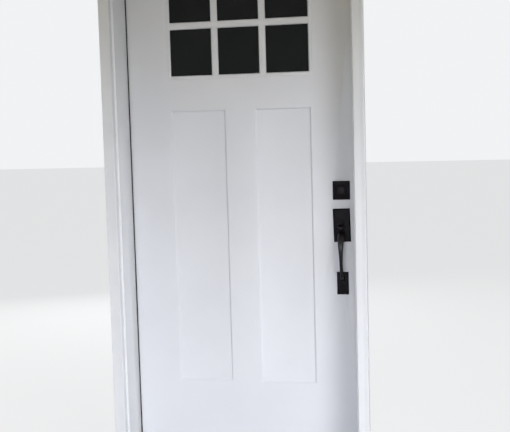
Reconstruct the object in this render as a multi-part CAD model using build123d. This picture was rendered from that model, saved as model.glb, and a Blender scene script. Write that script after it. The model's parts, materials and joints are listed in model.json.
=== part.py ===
"""Panelled front door: an inward-opening entry door hung in its own frame, with sill, seals and lock set.

Millimetres. X runs along the wall with the lock side at +X, Y runs inwards, Z is up.
The origin is the middle of the sill's underside. Seen from outside, the hinges are on the left.
"""

import os
from math import cos, hypot, radians, sin

from build123d import *

# The door leaf
SLAB_WIDTH = 914.4
SLAB_HEIGHT = 2032.0
SLAB_THICKNESS = 44.45
SKIN = 2.5
STILE = 32.0
TOP_RAIL = 32.0
BOTTOM_RAIL = 50.0
LOCK_BLOCK_WIDTH = 100.0
LOCK_BLOCK_BELOW = 270.0
LOCK_BLOCK_ABOVE = 75.0

# Glazed lites: three across and two high, with flush-set frames that carry the muntins
LITES_WIDTH = 543.0
LITES_HEIGHT = 384.0
LITES_BELOW_TOP = 138.5
MIDDLE_LITE = 160.0
MUNTIN = 27.5
MUNTIN_HEIGHT = 4.5
MUNTIN_BEVEL = 3.5
LITE_LIP = 14.0
LITE_BEVEL = 4.0
GLASS_SUNK = 5.0
PANE = 3.0
AIR_SPACE = 16.0
SPACER = 7.0
GLASS_EDGE_ROOM = 3.0

# Two tall sunk panels, on both faces
PANEL_WIDTH = 219.0
PANEL_HEIGHT = 1076.0
PANEL_ABOVE_BOTTOM = 298.0
PANEL_MULLION = 116.0
PANEL_DEPTH = 8.0
PANEL_BEVEL = 6.0

# Rabbeted jambs, brick mould and seals
JAMB_DEPTH = 192.1
JAMB_BACK = 19.05
STOP = 12.7
HANG_GAP = 3.2
SEAL_GAP = 6.0
SEAL_PROUD = 3.5
PAD_HEIGHT = 55.0
PAD_DEPTH = 22.0
KERF_WIDTH = 3.0
KERF_DEPTH = 10.0
MOULD_WIDTH = 40.0
MOULD_THICKNESS = 31.75
MOULD_EDGE = 20.0
MOULD_STEP = 2.0
MOULD_BOW = 0.055
MOULD_FLAT = 18.5
MOULD_REVEAL = 7.0
MOULD_RELIEF_WIDTH = 5.0
MOULD_RELIEF_DEPTH = 3.0

# Sill: a sloping metal deck on a composite base, with a level cap under the door
SILL_NOSE = 27.0
SILL_HEIGHT = 34.0
SILL_NOSE_HEIGHT = 14.0
DECK_BACK_HEIGHT = 24.0
DECK = 1.8
DECK_RIBS = 7
DECK_RIB_PITCH = 12.0
DECK_RIB_HEIGHT = 0.8
CAP_SEAT = 15.0
CAP_IN_FRONT = 12.0
SWEEP_GAP = 6.0
SWEEP_FINS = 3
SWEEP_FIN = 1.2
SWEEP_BASE = 1.8
SWEEP_WIDTH = 38.0
SWEEP_LEG = 8.0
SWEEP_LEG_THICKNESS = 2.0

# Hinges
HINGE_HEIGHT = 101.6
HINGE_LEAF = 2.5
HINGE_LEAF_WIDTH = 38.0
HINGE_CORNER = 12.0
HINGE_KNUCKLES = 5
KNUCKLE_RADIUS = 6.35
HINGE_PIN_RADIUS = 3.0
HINGE_PIN_PROUD = 6.9
HINGE_END = 180.0

# Lock set
BACKSET = 69.85
HANDLE_HEIGHT = 914.4
BORE_SPACING = 139.7
BORE_RADIUS = 27.0
EDGE_BORE_RADIUS = 12.7
FACEPLATE_HEIGHT = 57.15
FACEPLATE_WIDTH = 25.4
FACEPLATE = 2.4
CASE_RADIUS = 12.3
BOLT_RADIUS = 9.2
LATCH_THROW = 12.7
LATCH_WIDTH = 13.5
LATCH_HEAD = 27.0
LATCH_TAIL = 46.0
LATCH_TAIL_RADIUS = 3.5
DEADBOLT_THROW = 25.4
DEADBOLT_WIDTH = 14.5
DEADBOLT_LENGTH = 58.0
HUB_HOLE = 6.2
HUB_WALL = 0.8
STRIKE = 1.6
STRIKE_HEIGHT = 60.0
STRIKE_WIDTH = 28.0
POCKET_ROOM = 2.2

# Entry handle and deadbolt trim
PLATE = 8.0
PLATE_BEVEL = 4.0
DEADBOLT_PLATE_WIDTH = 65.5
DEADBOLT_PLATE_HEIGHT = 71.0
UPPER_PLATE_WIDTH = 65.5
UPPER_PLATE_ABOVE = 70.0
UPPER_PLATE_BELOW = 58.0
UPPER_PLATE_LEAN = 1.3
LOWER_PLATE_WIDTH = 45.0
LOWER_PLATE_HEIGHT = 87.5
LOWER_PLATE_DROP = 218.5
BUTTON_RADIUS = 4.5
COLLAR_RADIUS = 21.5
COLLAR_HEIGHT = 7.0
CYLINDER_RADIUS = 16.0
CYLINDER_LENGTH = 23.4
PLUG_RADIUS = 6.5
GRIP_REACH = 52.0
GRIP_TOP_WIDTH = 24.0
GRIP_WAIST_WIDTH = 12.5
GRIP_TOP_DROP = 26.5
GRIP_FOOT_DROP = 204.0
THUMB_RISE = 6.0
THUMB_WIDTH = 24.0
THUMB_REACH = 36.0
THUMB_THICKNESS = 3.6
THUMB_BEND = 60.0
THUMB_PIN_RADIUS = 2.0
THUMB_PIN_BEHIND = 4.5
THUMB_TAIL = 8.5
ROSE_RADIUS = 33.0
ROSE = 10.0
KNOB_RADIUS = 27.0
KNOB_REACH = 62.0
KNOB_NECK = 10.0
SPINDLE = 7.4
TURN_LENGTH = 40.0
TURN_WIDTH = 11.0
TURN_REACH = 22.0
POST_RADIUS = 4.0
POST_OFFSET = 21.0
FOOT_SCREW_HEAD = 9.0
FOOT_SCREW_HEAD_HEIGHT = 3.0

# Clearances
RUNNING = 0.05
SLIDING = 0.35
SEAT = 0.3
SCREW_ROOM = 0.05

# Screws: shank radius, head radius, length
HINGE_SCREW = (2.1, 4.2, 17.0)
STRIKE_SCREW = (2.0, 4.0, 16.0)
FRAME_SCREW = (2.2, 4.4, 60.0)
FACE_SCREW = (1.8, 3.4, 18.0)
TRIM_SCREW = (1.7, 3.6)
TRIM_SCREW_STOPS = 4.0

# Places worked out from the sizes above
Y_IN = (JAMB_DEPTH + SILL_NOSE) / 2
Y_OUT = Y_IN - JAMB_DEPTH
Y_NOSE = Y_OUT - SILL_NOSE
Y_FACE = Y_IN - SLAB_THICKNESS
Y_STOP = Y_FACE - SEAL_GAP
Y_MID = (Y_FACE + Y_IN) / 2
X_EDGE = SLAB_WIDTH / 2
X_RABBET = X_EDGE + HANG_GAP
X_STOP = X_RABBET - STOP
X_BACK = X_RABBET + JAMB_BACK
Z_SLAB = SILL_HEIGHT + SWEEP_GAP
Z_SLAB_TOP = Z_SLAB + SLAB_HEIGHT
Z_RABBET = Z_SLAB_TOP + HANG_GAP
Z_STOP = Z_RABBET - STOP
Z_HEAD = Z_RABBET + JAMB_BACK
X_BORE = X_EDGE - BACKSET
Z_HANDLE = Z_SLAB + HANDLE_HEIGHT
Z_DEADBOLT = Z_HANDLE + BORE_SPACING
Z_FOOT = Z_HANDLE - LOWER_PLATE_DROP
Z_THUMB = Z_HANDLE + THUMB_RISE
Z_LITES = Z_SLAB_TOP - LITES_BELOW_TOP - LITES_HEIGHT / 2
Z_PANELS = Z_SLAB + PANEL_ABOVE_BOTTOM + PANEL_HEIGHT / 2
X_PANEL = (PANEL_MULLION + PANEL_WIDTH) / 2
CUTOUT_WIDTH = LITES_WIDTH + 2 * LITE_LIP
CUTOUT_HEIGHT = LITES_HEIGHT + 2 * LITE_LIP
PIN_X = -X_EDGE - HANG_GAP / 2
PIN_Y = Y_IN + HINGE_PIN_PROUD
HINGE_HEIGHTS = (
    Z_SLAB + HINGE_END + HINGE_HEIGHT / 2,
    Z_SLAB + SLAB_HEIGHT / 2,
    Z_SLAB_TOP - HINGE_END - HINGE_HEIGHT / 2,
)
HINGE_NAMES = ("bottom", "middle", "top")


def block(x0, x1, y0, y1, z0, z1):
    """A box between two corners."""
    size = Box(x1 - x0, y1 - y0, z1 - z0)
    return Pos((x0 + x1) / 2, (y0 + y1) / 2, (z0 + z1) / 2) * size


def rod_x(x0, x1, y, z, radius):
    """A round bar along X."""
    return Pos((x0 + x1) / 2, y, z) * Rot(0, 90, 0) * Cylinder(radius, x1 - x0)


def rod_y(x, y0, y1, z, radius):
    """A round bar along Y."""
    return Pos(x, (y0 + y1) / 2, z) * Rot(90, 0, 0) * Cylinder(radius, y1 - y0)


def rod_z(x, y, z0, z1, radius):
    """A round bar along Z."""
    return Pos(x, y, (z0 + z1) / 2) * Cylinder(radius, z1 - z0)


def outward(x, y, z):
    """A drawing plane that faces out of the house, with its own x along X and its own y up."""
    return Plane(origin=(x, y, z), x_dir=(1, 0, 0), z_dir=(0, -1, 0))


def along_x(points, x0, x1):
    """A bar along X whose section is given as (y, z) points."""
    return extrude(Plane.YZ.offset(x0) * make_face(Polyline(*points, close=True)), x1 - x0)


def frustum(x, z, y0, width0, height0, y1, width1, height1):
    """A block with sloping sides between two upright rectangles."""
    first = outward(x, y0, z) * Rectangle(width0, height0)
    second = outward(x, y1, z) * Rectangle(width1, height1)
    return loft([first, second])


def screw(place, way, size, room=0.0):
    """A countersunk screw whose head lies at place and whose head faces way; room widens it to a hole."""
    shank, head, length = size
    shank, head = shank + room, head + room
    sink = head - shank
    tip = -length - room
    profile = Polyline((0, 0), (head, 0), (shank, -sink), (shank, tip + shank), (0, tip), close=True)
    turned = revolve(Plane.XZ * make_face(profile), Axis.Z)
    return Plane(origin=place, z_dir=way) * turned


def group(solids):
    """Separate solids in one node."""
    return Compound(children=list(solids))


# The frame


def jamb_section(inner):
    """The rabbeted section in X and Y, for a jamb whose rabbet face lies at X = -inner."""
    back, stop = -inner - JAMB_BACK, -inner + STOP
    outline = Polyline(
        (back, Y_OUT), (stop, Y_OUT), (stop, Y_STOP), (-inner + KERF_WIDTH, Y_STOP),
        (-inner + KERF_WIDTH, Y_STOP - KERF_DEPTH), (-inner, Y_STOP - KERF_DEPTH),
        (-inner, Y_IN), (back, Y_IN), close=True,
    )
    return make_face(outline)


def frame_screw_places():
    """Screws through the jambs into the ends of the head and of the sill."""
    head_z = (Z_RABBET + Z_HEAD) / 2
    sill_z = CAP_SEAT / 2
    for side in (-1, 1):
        for share in (0.12, 0.5, 0.88):
            y = Y_OUT + share * JAMB_DEPTH
            yield (side * X_BACK, y, head_z), (side, 0, 0)
            yield (side * X_BACK, y, sill_z), (side, 0, 0)


def frame_screw_cuts():
    return [screw(place, way, FRAME_SCREW, SCREW_ROOM) for place, way in frame_screw_places()]


def side_jamb(side):
    """One upright, from the sill's underside to the top of the head."""
    upright = extrude(jamb_section(X_RABBET), Z_HEAD)
    rebate_end = block(-X_RABBET, -X_STOP + 1, Y_OUT - 1, Y_IN + 1, Z_RABBET, Z_HEAD + 1)
    stop_end = block(-X_RABBET, -X_STOP + 1, Y_OUT - 1, Y_STOP, Z_STOP, Z_HEAD + 1)
    upright = upright - rebate_end - stop_end
    if side > 0:
        upright = mirror(upright, about=Plane.YZ)
    return upright


def head_jamb():
    """The rabbeted head between the uprights."""
    section = [
        (Y_OUT, Z_HEAD), (Y_OUT, Z_STOP), (Y_STOP, Z_STOP), (Y_STOP, Z_RABBET - KERF_WIDTH),
        (Y_STOP - KERF_DEPTH, Z_RABBET - KERF_WIDTH), (Y_STOP - KERF_DEPTH, Z_RABBET),
        (Y_IN, Z_RABBET), (Y_IN, Z_HEAD),
    ]
    return along_x(section, -X_RABBET, X_RABBET)


def mould_section():
    """Brick mould with an outer flat, an ogee and a grooved back; inner edge at x = 0, back at y = 0."""
    ogee = MOULD_WIDTH - MOULD_FLAT
    low, high = MOULD_EDGE, MOULD_THICKNESS
    start, end = (MOULD_STEP, low), (ogee, high)
    turn = ((start[0] + end[0]) / 2, (start[1] + end[1]) / 2)
    bow = MOULD_BOW * (ogee - MOULD_STEP)
    hollow = ((start[0] + turn[0]) / 2 + bow, (start[1] + turn[1]) / 2 - bow)
    swell = ((turn[0] + end[0]) / 2 - bow, (turn[1] + end[1]) / 2 + bow)
    groove = X_BACK - X_STOP - MOULD_REVEAL
    groove_end = groove + MOULD_RELIEF_WIDTH
    lines = Polyline(
        end, (MOULD_WIDTH, high), (MOULD_WIDTH, 0), (groove_end, 0), (groove_end, MOULD_RELIEF_DEPTH),
        (groove, MOULD_RELIEF_DEPTH), (groove, 0), (0, 0), (0, low), start,
    )
    return make_face(Curve() + [lines, ThreePointArc(start, hollow, turn), ThreePointArc(turn, swell, end)])


def brickmould():
    """Left, right and head mouldings, mitred at the two top corners."""
    inner_x, outer_x = X_STOP + MOULD_REVEAL, X_STOP + MOULD_REVEAL + MOULD_WIDTH
    inner_z = Z_STOP + MOULD_REVEAL
    outer_z = inner_z + MOULD_WIDTH
    stick = extrude(mould_section(), outer_z)
    right = Pos(inner_x, Y_OUT, 0) * mirror(stick, about=Plane.XZ)
    behind, through = outward(0, Y_OUT + 1, 0), MOULD_THICKNESS + 2
    corner = Polyline((inner_x, inner_z), (outer_x + 1, outer_z + 1), (inner_x, outer_z + 1), close=True)
    right = right - extrude(behind * make_face(corner), through)
    left = mirror(right, about=Plane.YZ)
    turned = Plane(origin=(-outer_x, Y_OUT, inner_z), x_dir=(0, 0, 1), z_dir=(1, 0, 0))
    head = extrude(turned * mould_section(), 2 * outer_x)
    for side in (-1, 1):
        near, far = side * inner_x, side * (outer_x + 1)
        below = inner_z - 1
        end = Polyline((near, inner_z), (far, outer_z + 1), (far, below), (near, below), close=True)
        head = head - extrude(behind * make_face(end), through)
    return left, right, head


def seal_section():
    """Weatherstrip: a leg in the kerf and a soft bulb behind the stop; x runs away from the rabbet face."""
    leg = KERF_WIDTH - SEAT
    reach = STOP + SEAL_PROUD
    middle = (Y_STOP + Y_FACE) / 2
    half = SEAL_GAP / 2 - SEAT
    root = Y_STOP - KERF_DEPTH + SEAT
    lines = Polyline(
        (reach - half, middle - half), (leg, middle - half), (leg, root), (SEAT, root),
        (SEAT, middle + half), (reach - half, middle + half),
    )
    nose = ThreePointArc((reach - half, middle + half), (reach, middle), (reach - half, middle - half))
    return make_face(Curve() + [lines, nose])


def weatherstrips():
    """Two uprights that stop under the head strip, and the head strip between the rabbets."""
    foot = SILL_HEIGHT + SEAT
    top = Z_STOP - SEAL_PROUD - SEAT
    left = extrude(Pos(-X_RABBET, 0, foot) * seal_section(), top - foot)
    right = mirror(left, about=Plane.YZ)
    down = Plane(origin=(-X_RABBET + SEAT, 0, Z_RABBET), x_dir=(0, 0, -1), z_dir=(1, 0, 0))
    head = extrude(down * seal_section(), 2 * (X_RABBET - SEAT))
    return left, right, head


def corner_pads():
    """Soft wedges that close the bottom corners between the door's edges and the rabbets."""
    thickness = HANG_GAP * 0.45
    pads = []
    for side in (-1, 1):
        x = side * (X_RABBET - thickness / 2)
        outline = Polyline((Y_FACE, 0), (Y_FACE + PAD_DEPTH, 0), (Y_FACE, PAD_HEIGHT), close=True)
        face = Plane(origin=(x - thickness / 2, 0, SILL_HEIGHT + SEAT), x_dir=(0, 1, 0), z_dir=(1, 0, 0))
        pads.append(extrude(face * make_face(outline), thickness))
    return group(pads)


# The sill


def deck_line(y):
    """Height of the deck's upper face at y."""
    back = Y_FACE - CAP_IN_FRONT
    return SILL_NOSE_HEIGHT + (DECK_BACK_HEIGHT - SILL_NOSE_HEIGHT) * (y - Y_NOSE) / (back - Y_NOSE)


def notch_ends(bar):
    """Cuts a full-width bar back between the stops, in front of the rabbets."""
    for side in (-1, 1):
        a, b = sorted((side * X_STOP, side * (X_RABBET + 1)))
        bar = bar - block(a, b, Y_NOSE - 1, Y_STOP, -1, SILL_HEIGHT + 20)
    return bar


def sill_base():
    back = Y_FACE - CAP_IN_FRONT
    section = [
        (Y_NOSE + DECK, 0), (Y_IN, 0), (Y_IN, CAP_SEAT), (back, CAP_SEAT),
        (back, deck_line(back) - DECK), (Y_NOSE + DECK, deck_line(Y_NOSE + DECK) - DECK),
    ]
    return notch_ends(along_x(section, -X_RABBET, X_RABBET))


def sill_deck():
    """Folded metal: a nose, the sloping tread with its ribs, and a lip that the cap hooks over."""
    back = Y_FACE - CAP_IN_FRONT
    section = [
        (Y_NOSE, 0), (Y_NOSE + DECK, 0), (Y_NOSE + DECK, deck_line(Y_NOSE + DECK) - DECK),
        (back, deck_line(back) - DECK), (back, deck_line(back)), (Y_NOSE, deck_line(Y_NOSE)),
    ]
    deck = along_x(section, -X_RABBET, X_RABBET)
    for i in range(DECK_RIBS):
        y = Y_OUT + (i + 1) * DECK_RIB_PITCH
        z = deck_line(y)
        rib = [
            (y - 2, deck_line(y - 2) - 0.3), (y + 2, deck_line(y + 2) - 0.3),
            (y + 1, z + DECK_RIB_HEIGHT), (y - 1, z + DECK_RIB_HEIGHT),
        ]
        deck = deck + along_x(rib, -X_STOP, X_STOP)
    return notch_ends(deck)


def sill_cap():
    """The level cap that the door's sweep closes on, with eased front and back edges."""
    front, ease = Y_FACE - CAP_IN_FRONT, 4.0
    section = [
        (front, CAP_SEAT), (Y_IN, CAP_SEAT), (Y_IN, SILL_HEIGHT - ease), (Y_IN - ease, SILL_HEIGHT),
        (front + ease, SILL_HEIGHT), (front, SILL_HEIGHT - ease),
    ]
    return notch_ends(along_x(section, -X_RABBET, X_RABBET))


# Hinges


def leaf_outline():
    """Leaf against an edge face, in the YZ plane: two rounded corners away from the knuckle."""
    width = HINGE_LEAF_WIDTH
    plain = Pos(Y_IN - width / 2, 0) * Rectangle(width, HINGE_HEIGHT)
    corners = plain.vertices().group_by(Axis.X)[0]
    return fillet(corners, HINGE_CORNER)


def leaf_pocket(z, x0, x1):
    """The mortise for a leaf, the same shape as the leaf."""
    face = Plane.YZ.offset(x0) * Pos(0, z) * leaf_outline()
    return extrude(face, x1 - x0)


def leaf_screw_places(z, x, way):
    """Four staggered screws in a leaf whose outer face lies at x."""
    for i, (share, inset) in enumerate(((-0.38, 14.0), (-0.13, 26.0), (0.13, 26.0), (0.38, 14.0))):
        yield (x, Y_IN - inset, z + share * HINGE_HEIGHT), (way, 0, 0)


def knuckle_rows(z, odd):
    """Bottom and top of each knuckle that belongs to the jamb leaf (odd) or the door leaf."""
    pitch = HINGE_HEIGHT / HINGE_KNUCKLES
    for i in range(HINGE_KNUCKLES):
        if (i % 2 == 0) == odd:
            z0 = z - HINGE_HEIGHT / 2 + i * pitch
            yield z0 + SEAT / 2, z0 + pitch - SEAT / 2


def hinge_leaf(z, x0, x1, odd, way):
    """A leaf with its knuckles, cleared round the other leaf's knuckles, bored and countersunk."""
    plate = leaf_pocket(z, x0, x1)
    plate = plate + block(x0, x1, Y_IN - 1, PIN_Y, z - HINGE_HEIGHT / 2, z + HINGE_HEIGHT / 2)
    for z0, z1 in knuckle_rows(z, not odd):
        plate = plate - rod_z(PIN_X, PIN_Y, z0 - SEAT, z1 + SEAT, KNUCKLE_RADIUS + SLIDING)
    for z0, z1 in knuckle_rows(z, odd):
        plate = plate + rod_z(PIN_X, PIN_Y, z0, z1, KNUCKLE_RADIUS)
    plate = plate - rod_z(PIN_X, PIN_Y, z - HINGE_HEIGHT, z + HINGE_HEIGHT, HINGE_PIN_RADIUS + RUNNING)
    face = x1 if way > 0 else x0
    for place, turn in leaf_screw_places(z, face, way):
        plate = plate - screw(place, turn, HINGE_SCREW, SCREW_ROOM)
    return plate


def jamb_leaf(z):
    return hinge_leaf(z, -X_RABBET - HINGE_LEAF, -X_RABBET, True, 1)


def door_leaf(z):
    return hinge_leaf(z, -X_EDGE, -X_EDGE + HINGE_LEAF, False, -1)


def hinge_pins():
    """A plain pin in each hinge, with a low button head and a tip."""
    pins = []
    for z in HINGE_HEIGHTS:
        top, bottom = z + HINGE_HEIGHT / 2, z - HINGE_HEIGHT / 2
        profile = Polyline(
            (0, bottom - 3), (HINGE_PIN_RADIUS - 1, bottom - 3), (HINGE_PIN_RADIUS, bottom - 2),
            (HINGE_PIN_RADIUS, top), (KNUCKLE_RADIUS, top), (KNUCKLE_RADIUS, top + 2),
            (KNUCKLE_RADIUS - 2, top + 4), (0, top + 5), close=True,
        )
        pins.append(Pos(PIN_X, PIN_Y, 0) * revolve(Plane.XZ * make_face(profile), Axis.Z))
    return group(pins)


def hinge_screws(x, way):
    """The screws of all the leaves on one side of the gap."""
    places = [p for z in HINGE_HEIGHTS for p in leaf_screw_places(z, x, way)]
    return [screw(place, turn, HINGE_SCREW) for place, turn in places]


def hinge_screw_cuts(x, way):
    places = [p for z in HINGE_HEIGHTS for p in leaf_screw_places(z, x, way)]
    return [screw(place, turn, HINGE_SCREW, SCREW_ROOM) for place, turn in places]


# The door leaf


def sunk_panels(y_face, way, grow):
    """Cutters for the two sunk panels of one face; grow follows the back of the skin, not its face."""
    cutters = []
    slope = hypot(PANEL_BEVEL, PANEL_DEPTH)
    widen = 2 * grow * (slope - PANEL_BEVEL) / PANEL_DEPTH
    start = y_face + way * grow
    for side in (-1, 1):
        width, height = PANEL_WIDTH + widen, PANEL_HEIGHT + widen
        inner = 2 * PANEL_BEVEL
        cutters.append(frustum(
            side * X_PANEL, Z_PANELS, start, width, height,
            start + way * PANEL_DEPTH, width - inner, height - inner,
        ))
    return cutters


def lite_cutout(y0, y1):
    half_w, half_h = CUTOUT_WIDTH / 2, CUTOUT_HEIGHT / 2
    return block(-half_w, half_w, y0, y1, Z_LITES - half_h, Z_LITES + half_h)


def lock_bores():
    """The two cross bores, the bolts' edge bores and the hole for the grip's lower screw."""
    return [
        rod_y(X_BORE, Y_FACE - 1, Y_IN + 1, Z_HANDLE, BORE_RADIUS),
        rod_y(X_BORE, Y_FACE - 1, Y_IN + 1, Z_DEADBOLT, BORE_RADIUS),
        rod_x(X_BORE, X_EDGE + 1, Y_MID, Z_HANDLE, EDGE_BORE_RADIUS),
        rod_x(X_BORE, X_EDGE + 1, Y_MID, Z_DEADBOLT, EDGE_BORE_RADIUS),
        rod_y(X_BORE, Y_FACE - 1, Y_IN + 1, Z_FOOT, POST_RADIUS + SEAT),
    ]


def skin(y_face, way):
    """A moulded skin with its two sunk panels, its lite opening and its lock bores."""
    a, b = sorted((y_face, y_face + way * SKIN))
    sheet = block(-X_EDGE, X_EDGE, a, b, Z_SLAB, Z_SLAB_TOP)
    for pan in sunk_panels(y_face, way, SKIN):
        sheet = sheet + pan
    for hollow in sunk_panels(y_face, way, 0.0):
        sheet = sheet - hollow
    sheet = sheet - lite_cutout(Y_FACE - 1, Y_IN + 1)
    for bore in lock_bores():
        sheet = sheet - bore
    return sheet


def door_pockets():
    """Mortises in the hinge edge."""
    return [leaf_pocket(z, -X_EDGE - 1, -X_EDGE + HINGE_LEAF) for z in HINGE_HEIGHTS]


def faceplate_blank(z, room=0.0):
    """A bolt's face plate, let into the lock edge."""
    shape = RectangleRounded(FACEPLATE_WIDTH + room, FACEPLATE_HEIGHT + room, 6)
    face = Plane.YZ.offset(X_EDGE - FACEPLATE) * Pos(Y_MID, z) * shape
    return extrude(face, FACEPLATE)


def faceplate_screw_places():
    for z in (Z_HANDLE, Z_DEADBOLT):
        for side in (-1, 1):
            yield (X_EDGE, Y_MID, z + side * (FACEPLATE_HEIGHT / 2 - 7)), (1, 0, 0)


def hinge_stile():
    stile = block(-X_EDGE, -X_EDGE + STILE, Y_FACE + SKIN, Y_IN - SKIN, Z_SLAB, Z_SLAB_TOP)
    for cut in door_pockets() + hinge_screw_cuts(-X_EDGE, -1):
        stile = stile - cut
    return stile


def lock_stile():
    stile = block(X_EDGE - STILE, X_EDGE, Y_FACE + SKIN, Y_IN - SKIN, Z_SLAB, Z_SLAB_TOP)
    for bore in lock_bores():
        stile = stile - bore
    for z in (Z_HANDLE, Z_DEADBOLT):
        stile = stile - faceplate_blank(z)
    for place, way in faceplate_screw_places():
        stile = stile - screw(place, way, FACE_SCREW, SCREW_ROOM)
    return stile


def lock_block_blank():
    x1 = X_EDGE - STILE
    bottom, top = Z_HANDLE - LOCK_BLOCK_BELOW, Z_DEADBOLT + LOCK_BLOCK_ABOVE
    return block(x1 - LOCK_BLOCK_WIDTH, x1, Y_FACE + SKIN, Y_IN - SKIN, bottom, top)


def lock_block():
    """Solid timber behind the lock stile, where the bores are."""
    body = lock_block_blank()
    for bore in lock_bores():
        body = body - bore
    return body


def slab_rail(z0, z1):
    return block(-X_EDGE + STILE, X_EDGE - STILE, Y_FACE + SKIN, Y_IN - SKIN, z0, z1)


def bottom_rail():
    rail = slab_rail(Z_SLAB, Z_SLAB + BOTTOM_RAIL)
    for y in sweep_leg_places():
        half = SWEEP_LEG_THICKNESS / 2 + SEAT
        rail = rail - block(-X_EDGE, X_EDGE, y - half, y + half, Z_SLAB - 1, Z_SLAB + SWEEP_LEG + SEAT)
    return rail


def foam_core():
    """Rigid foam that fills the leaf between the skins, round the lites and the lock block."""
    core = slab_rail(Z_SLAB + BOTTOM_RAIL, Z_SLAB_TOP - TOP_RAIL)
    for pan in sunk_panels(Y_FACE, 1, SKIN) + sunk_panels(Y_IN, -1, SKIN):
        core = core - pan
    core = core - lite_cutout(Y_FACE, Y_IN)
    return core - lock_block_blank()


def sweep_leg_places():
    """The two barbed legs stand a third in from each edge of the sweep."""
    return [Y_MID - SWEEP_WIDTH / 6, Y_MID + SWEEP_WIDTH / 6]


def door_sweep():
    """Vinyl sweep under the door: a base, two barbed legs in kerfs and fins that brush the cap."""
    y0, y1 = Y_MID - SWEEP_WIDTH / 2, Y_MID + SWEEP_WIDTH / 2
    x = X_EDGE - STILE - SEAT
    strip = block(-x, x, y0, y1, Z_SLAB - SWEEP_BASE, Z_SLAB)
    half = SWEEP_LEG_THICKNESS / 2
    for y in sweep_leg_places():
        strip = strip + block(-x, x, y - half, y + half, Z_SLAB - 1, Z_SLAB + SWEEP_LEG)
    for i in range(SWEEP_FINS):
        y = y0 + (i + 0.5) * SWEEP_WIDTH / SWEEP_FINS
        foot = SILL_HEIGHT + SEAT
        fin = [
            (y - SWEEP_FIN / 2, Z_SLAB - SWEEP_BASE + 0.5), (y + SWEEP_FIN / 2, Z_SLAB - SWEEP_BASE + 0.5),
            (y + SWEEP_FIN / 2 - 2, foot), (y - SWEEP_FIN / 2 - 2, foot),
        ]
        strip = strip + along_x(fin, -x, x)
    return strip


# The lites


def muntin_bars(y_glass, way):
    """Bars with bevelled sides that cross in front of the glass."""
    bars = []
    top = MUNTIN - 2 * MUNTIN_BEVEL
    y_top = y_glass + way * MUNTIN_HEIGHT
    long_z, long_x = LITES_HEIGHT + LITE_LIP, LITES_WIDTH + LITE_LIP
    for side in (-1, 1):
        x = side * (MIDDLE_LITE + MUNTIN) / 2
        bars.append(frustum(x, Z_LITES, y_glass, MUNTIN, long_z, y_top, top, long_z))
    bars.append(frustum(0, Z_LITES, y_glass, long_x, MUNTIN, y_top, long_x, top))
    return bars


def lite_frame(y_glass, y_face, way):
    """A moulded ring, flush with the skin and bevelled to the glass, in one piece with its muntins."""
    room = SEAT
    a, b = sorted((y_glass, y_face))
    half_w, half_h = CUTOUT_WIDTH / 2 - room, CUTOUT_HEIGHT / 2 - room
    ring = block(-half_w, half_w, a, b, Z_LITES - half_h, Z_LITES + half_h)
    inner_w, inner_h = LITES_WIDTH / 2, LITES_HEIGHT / 2
    ring = ring - block(-inner_w, inner_w, a - 1, b + 1, Z_LITES - inner_h, Z_LITES + inner_h)
    outer = 2 * LITE_BEVEL
    ring = ring - frustum(
        0, Z_LITES, y_face, LITES_WIDTH + outer, LITES_HEIGHT + outer,
        y_face - way * LITE_BEVEL * 1.2, LITES_WIDTH, LITES_HEIGHT,
    )
    for bar in muntin_bars(y_glass, way):
        trimmed = bar & block(-half_w, half_w, a - 1, b + 1, Z_LITES - half_h, Z_LITES + half_h)
        ring = ring + trimmed
    return ring


def glass_pane(y0):
    half_w = CUTOUT_WIDTH / 2 - GLASS_EDGE_ROOM
    half_h = CUTOUT_HEIGHT / 2 - GLASS_EDGE_ROOM
    return block(-half_w, half_w, y0, y0 + PANE, Z_LITES - half_h, Z_LITES + half_h)


def glass_spacer(y0):
    """The metal bar that keeps the two panes apart and seals their edges."""
    half_w = CUTOUT_WIDTH / 2 - GLASS_EDGE_ROOM
    half_h = CUTOUT_HEIGHT / 2 - GLASS_EDGE_ROOM
    ring = block(-half_w, half_w, y0, y0 + AIR_SPACE, Z_LITES - half_h, Z_LITES + half_h)
    half_w, half_h = half_w - SPACER, half_h - SPACER
    return ring - block(-half_w, half_w, y0 - 1, y0 + AIR_SPACE + 1, Z_LITES - half_h, Z_LITES + half_h)


# Bolts and strikes


def bolt_bar(x0, x1, z, width, radius):
    """A bolt's round bar with two flats."""
    flats = block(x0, x1, Y_MID - width / 2, Y_MID + width / 2, z - radius, z + radius)
    return rod_x(x0, x1, Y_MID, z, radius) & flats


def bolt_case(z, width):
    """Face plate, tube and hub of a tubular bolt, hollow for the bolt and holed for the spindle."""
    hub_end = X_BORE - HUB_HOLE - 7
    depth = BACKSET - HUB_HOLE - HUB_WALL
    case = faceplate_blank(z) + rod_x(hub_end, X_EDGE - FACEPLATE, Y_MID, z, CASE_RADIUS)
    case = case - rod_x(X_EDGE - depth, X_EDGE - FACEPLATE, Y_MID, z, BOLT_RADIUS + SLIDING)
    case = case - bolt_bar(X_EDGE - depth, X_EDGE + 1, z, width + 2 * SLIDING, BOLT_RADIUS + SLIDING)
    case = case - rod_y(X_BORE, Y_FACE, Y_IN, z, HUB_HOLE)
    for place, way in faceplate_screw_places():
        case = case - screw(place, way, FACE_SCREW, SCREW_ROOM)
    return case


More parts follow.
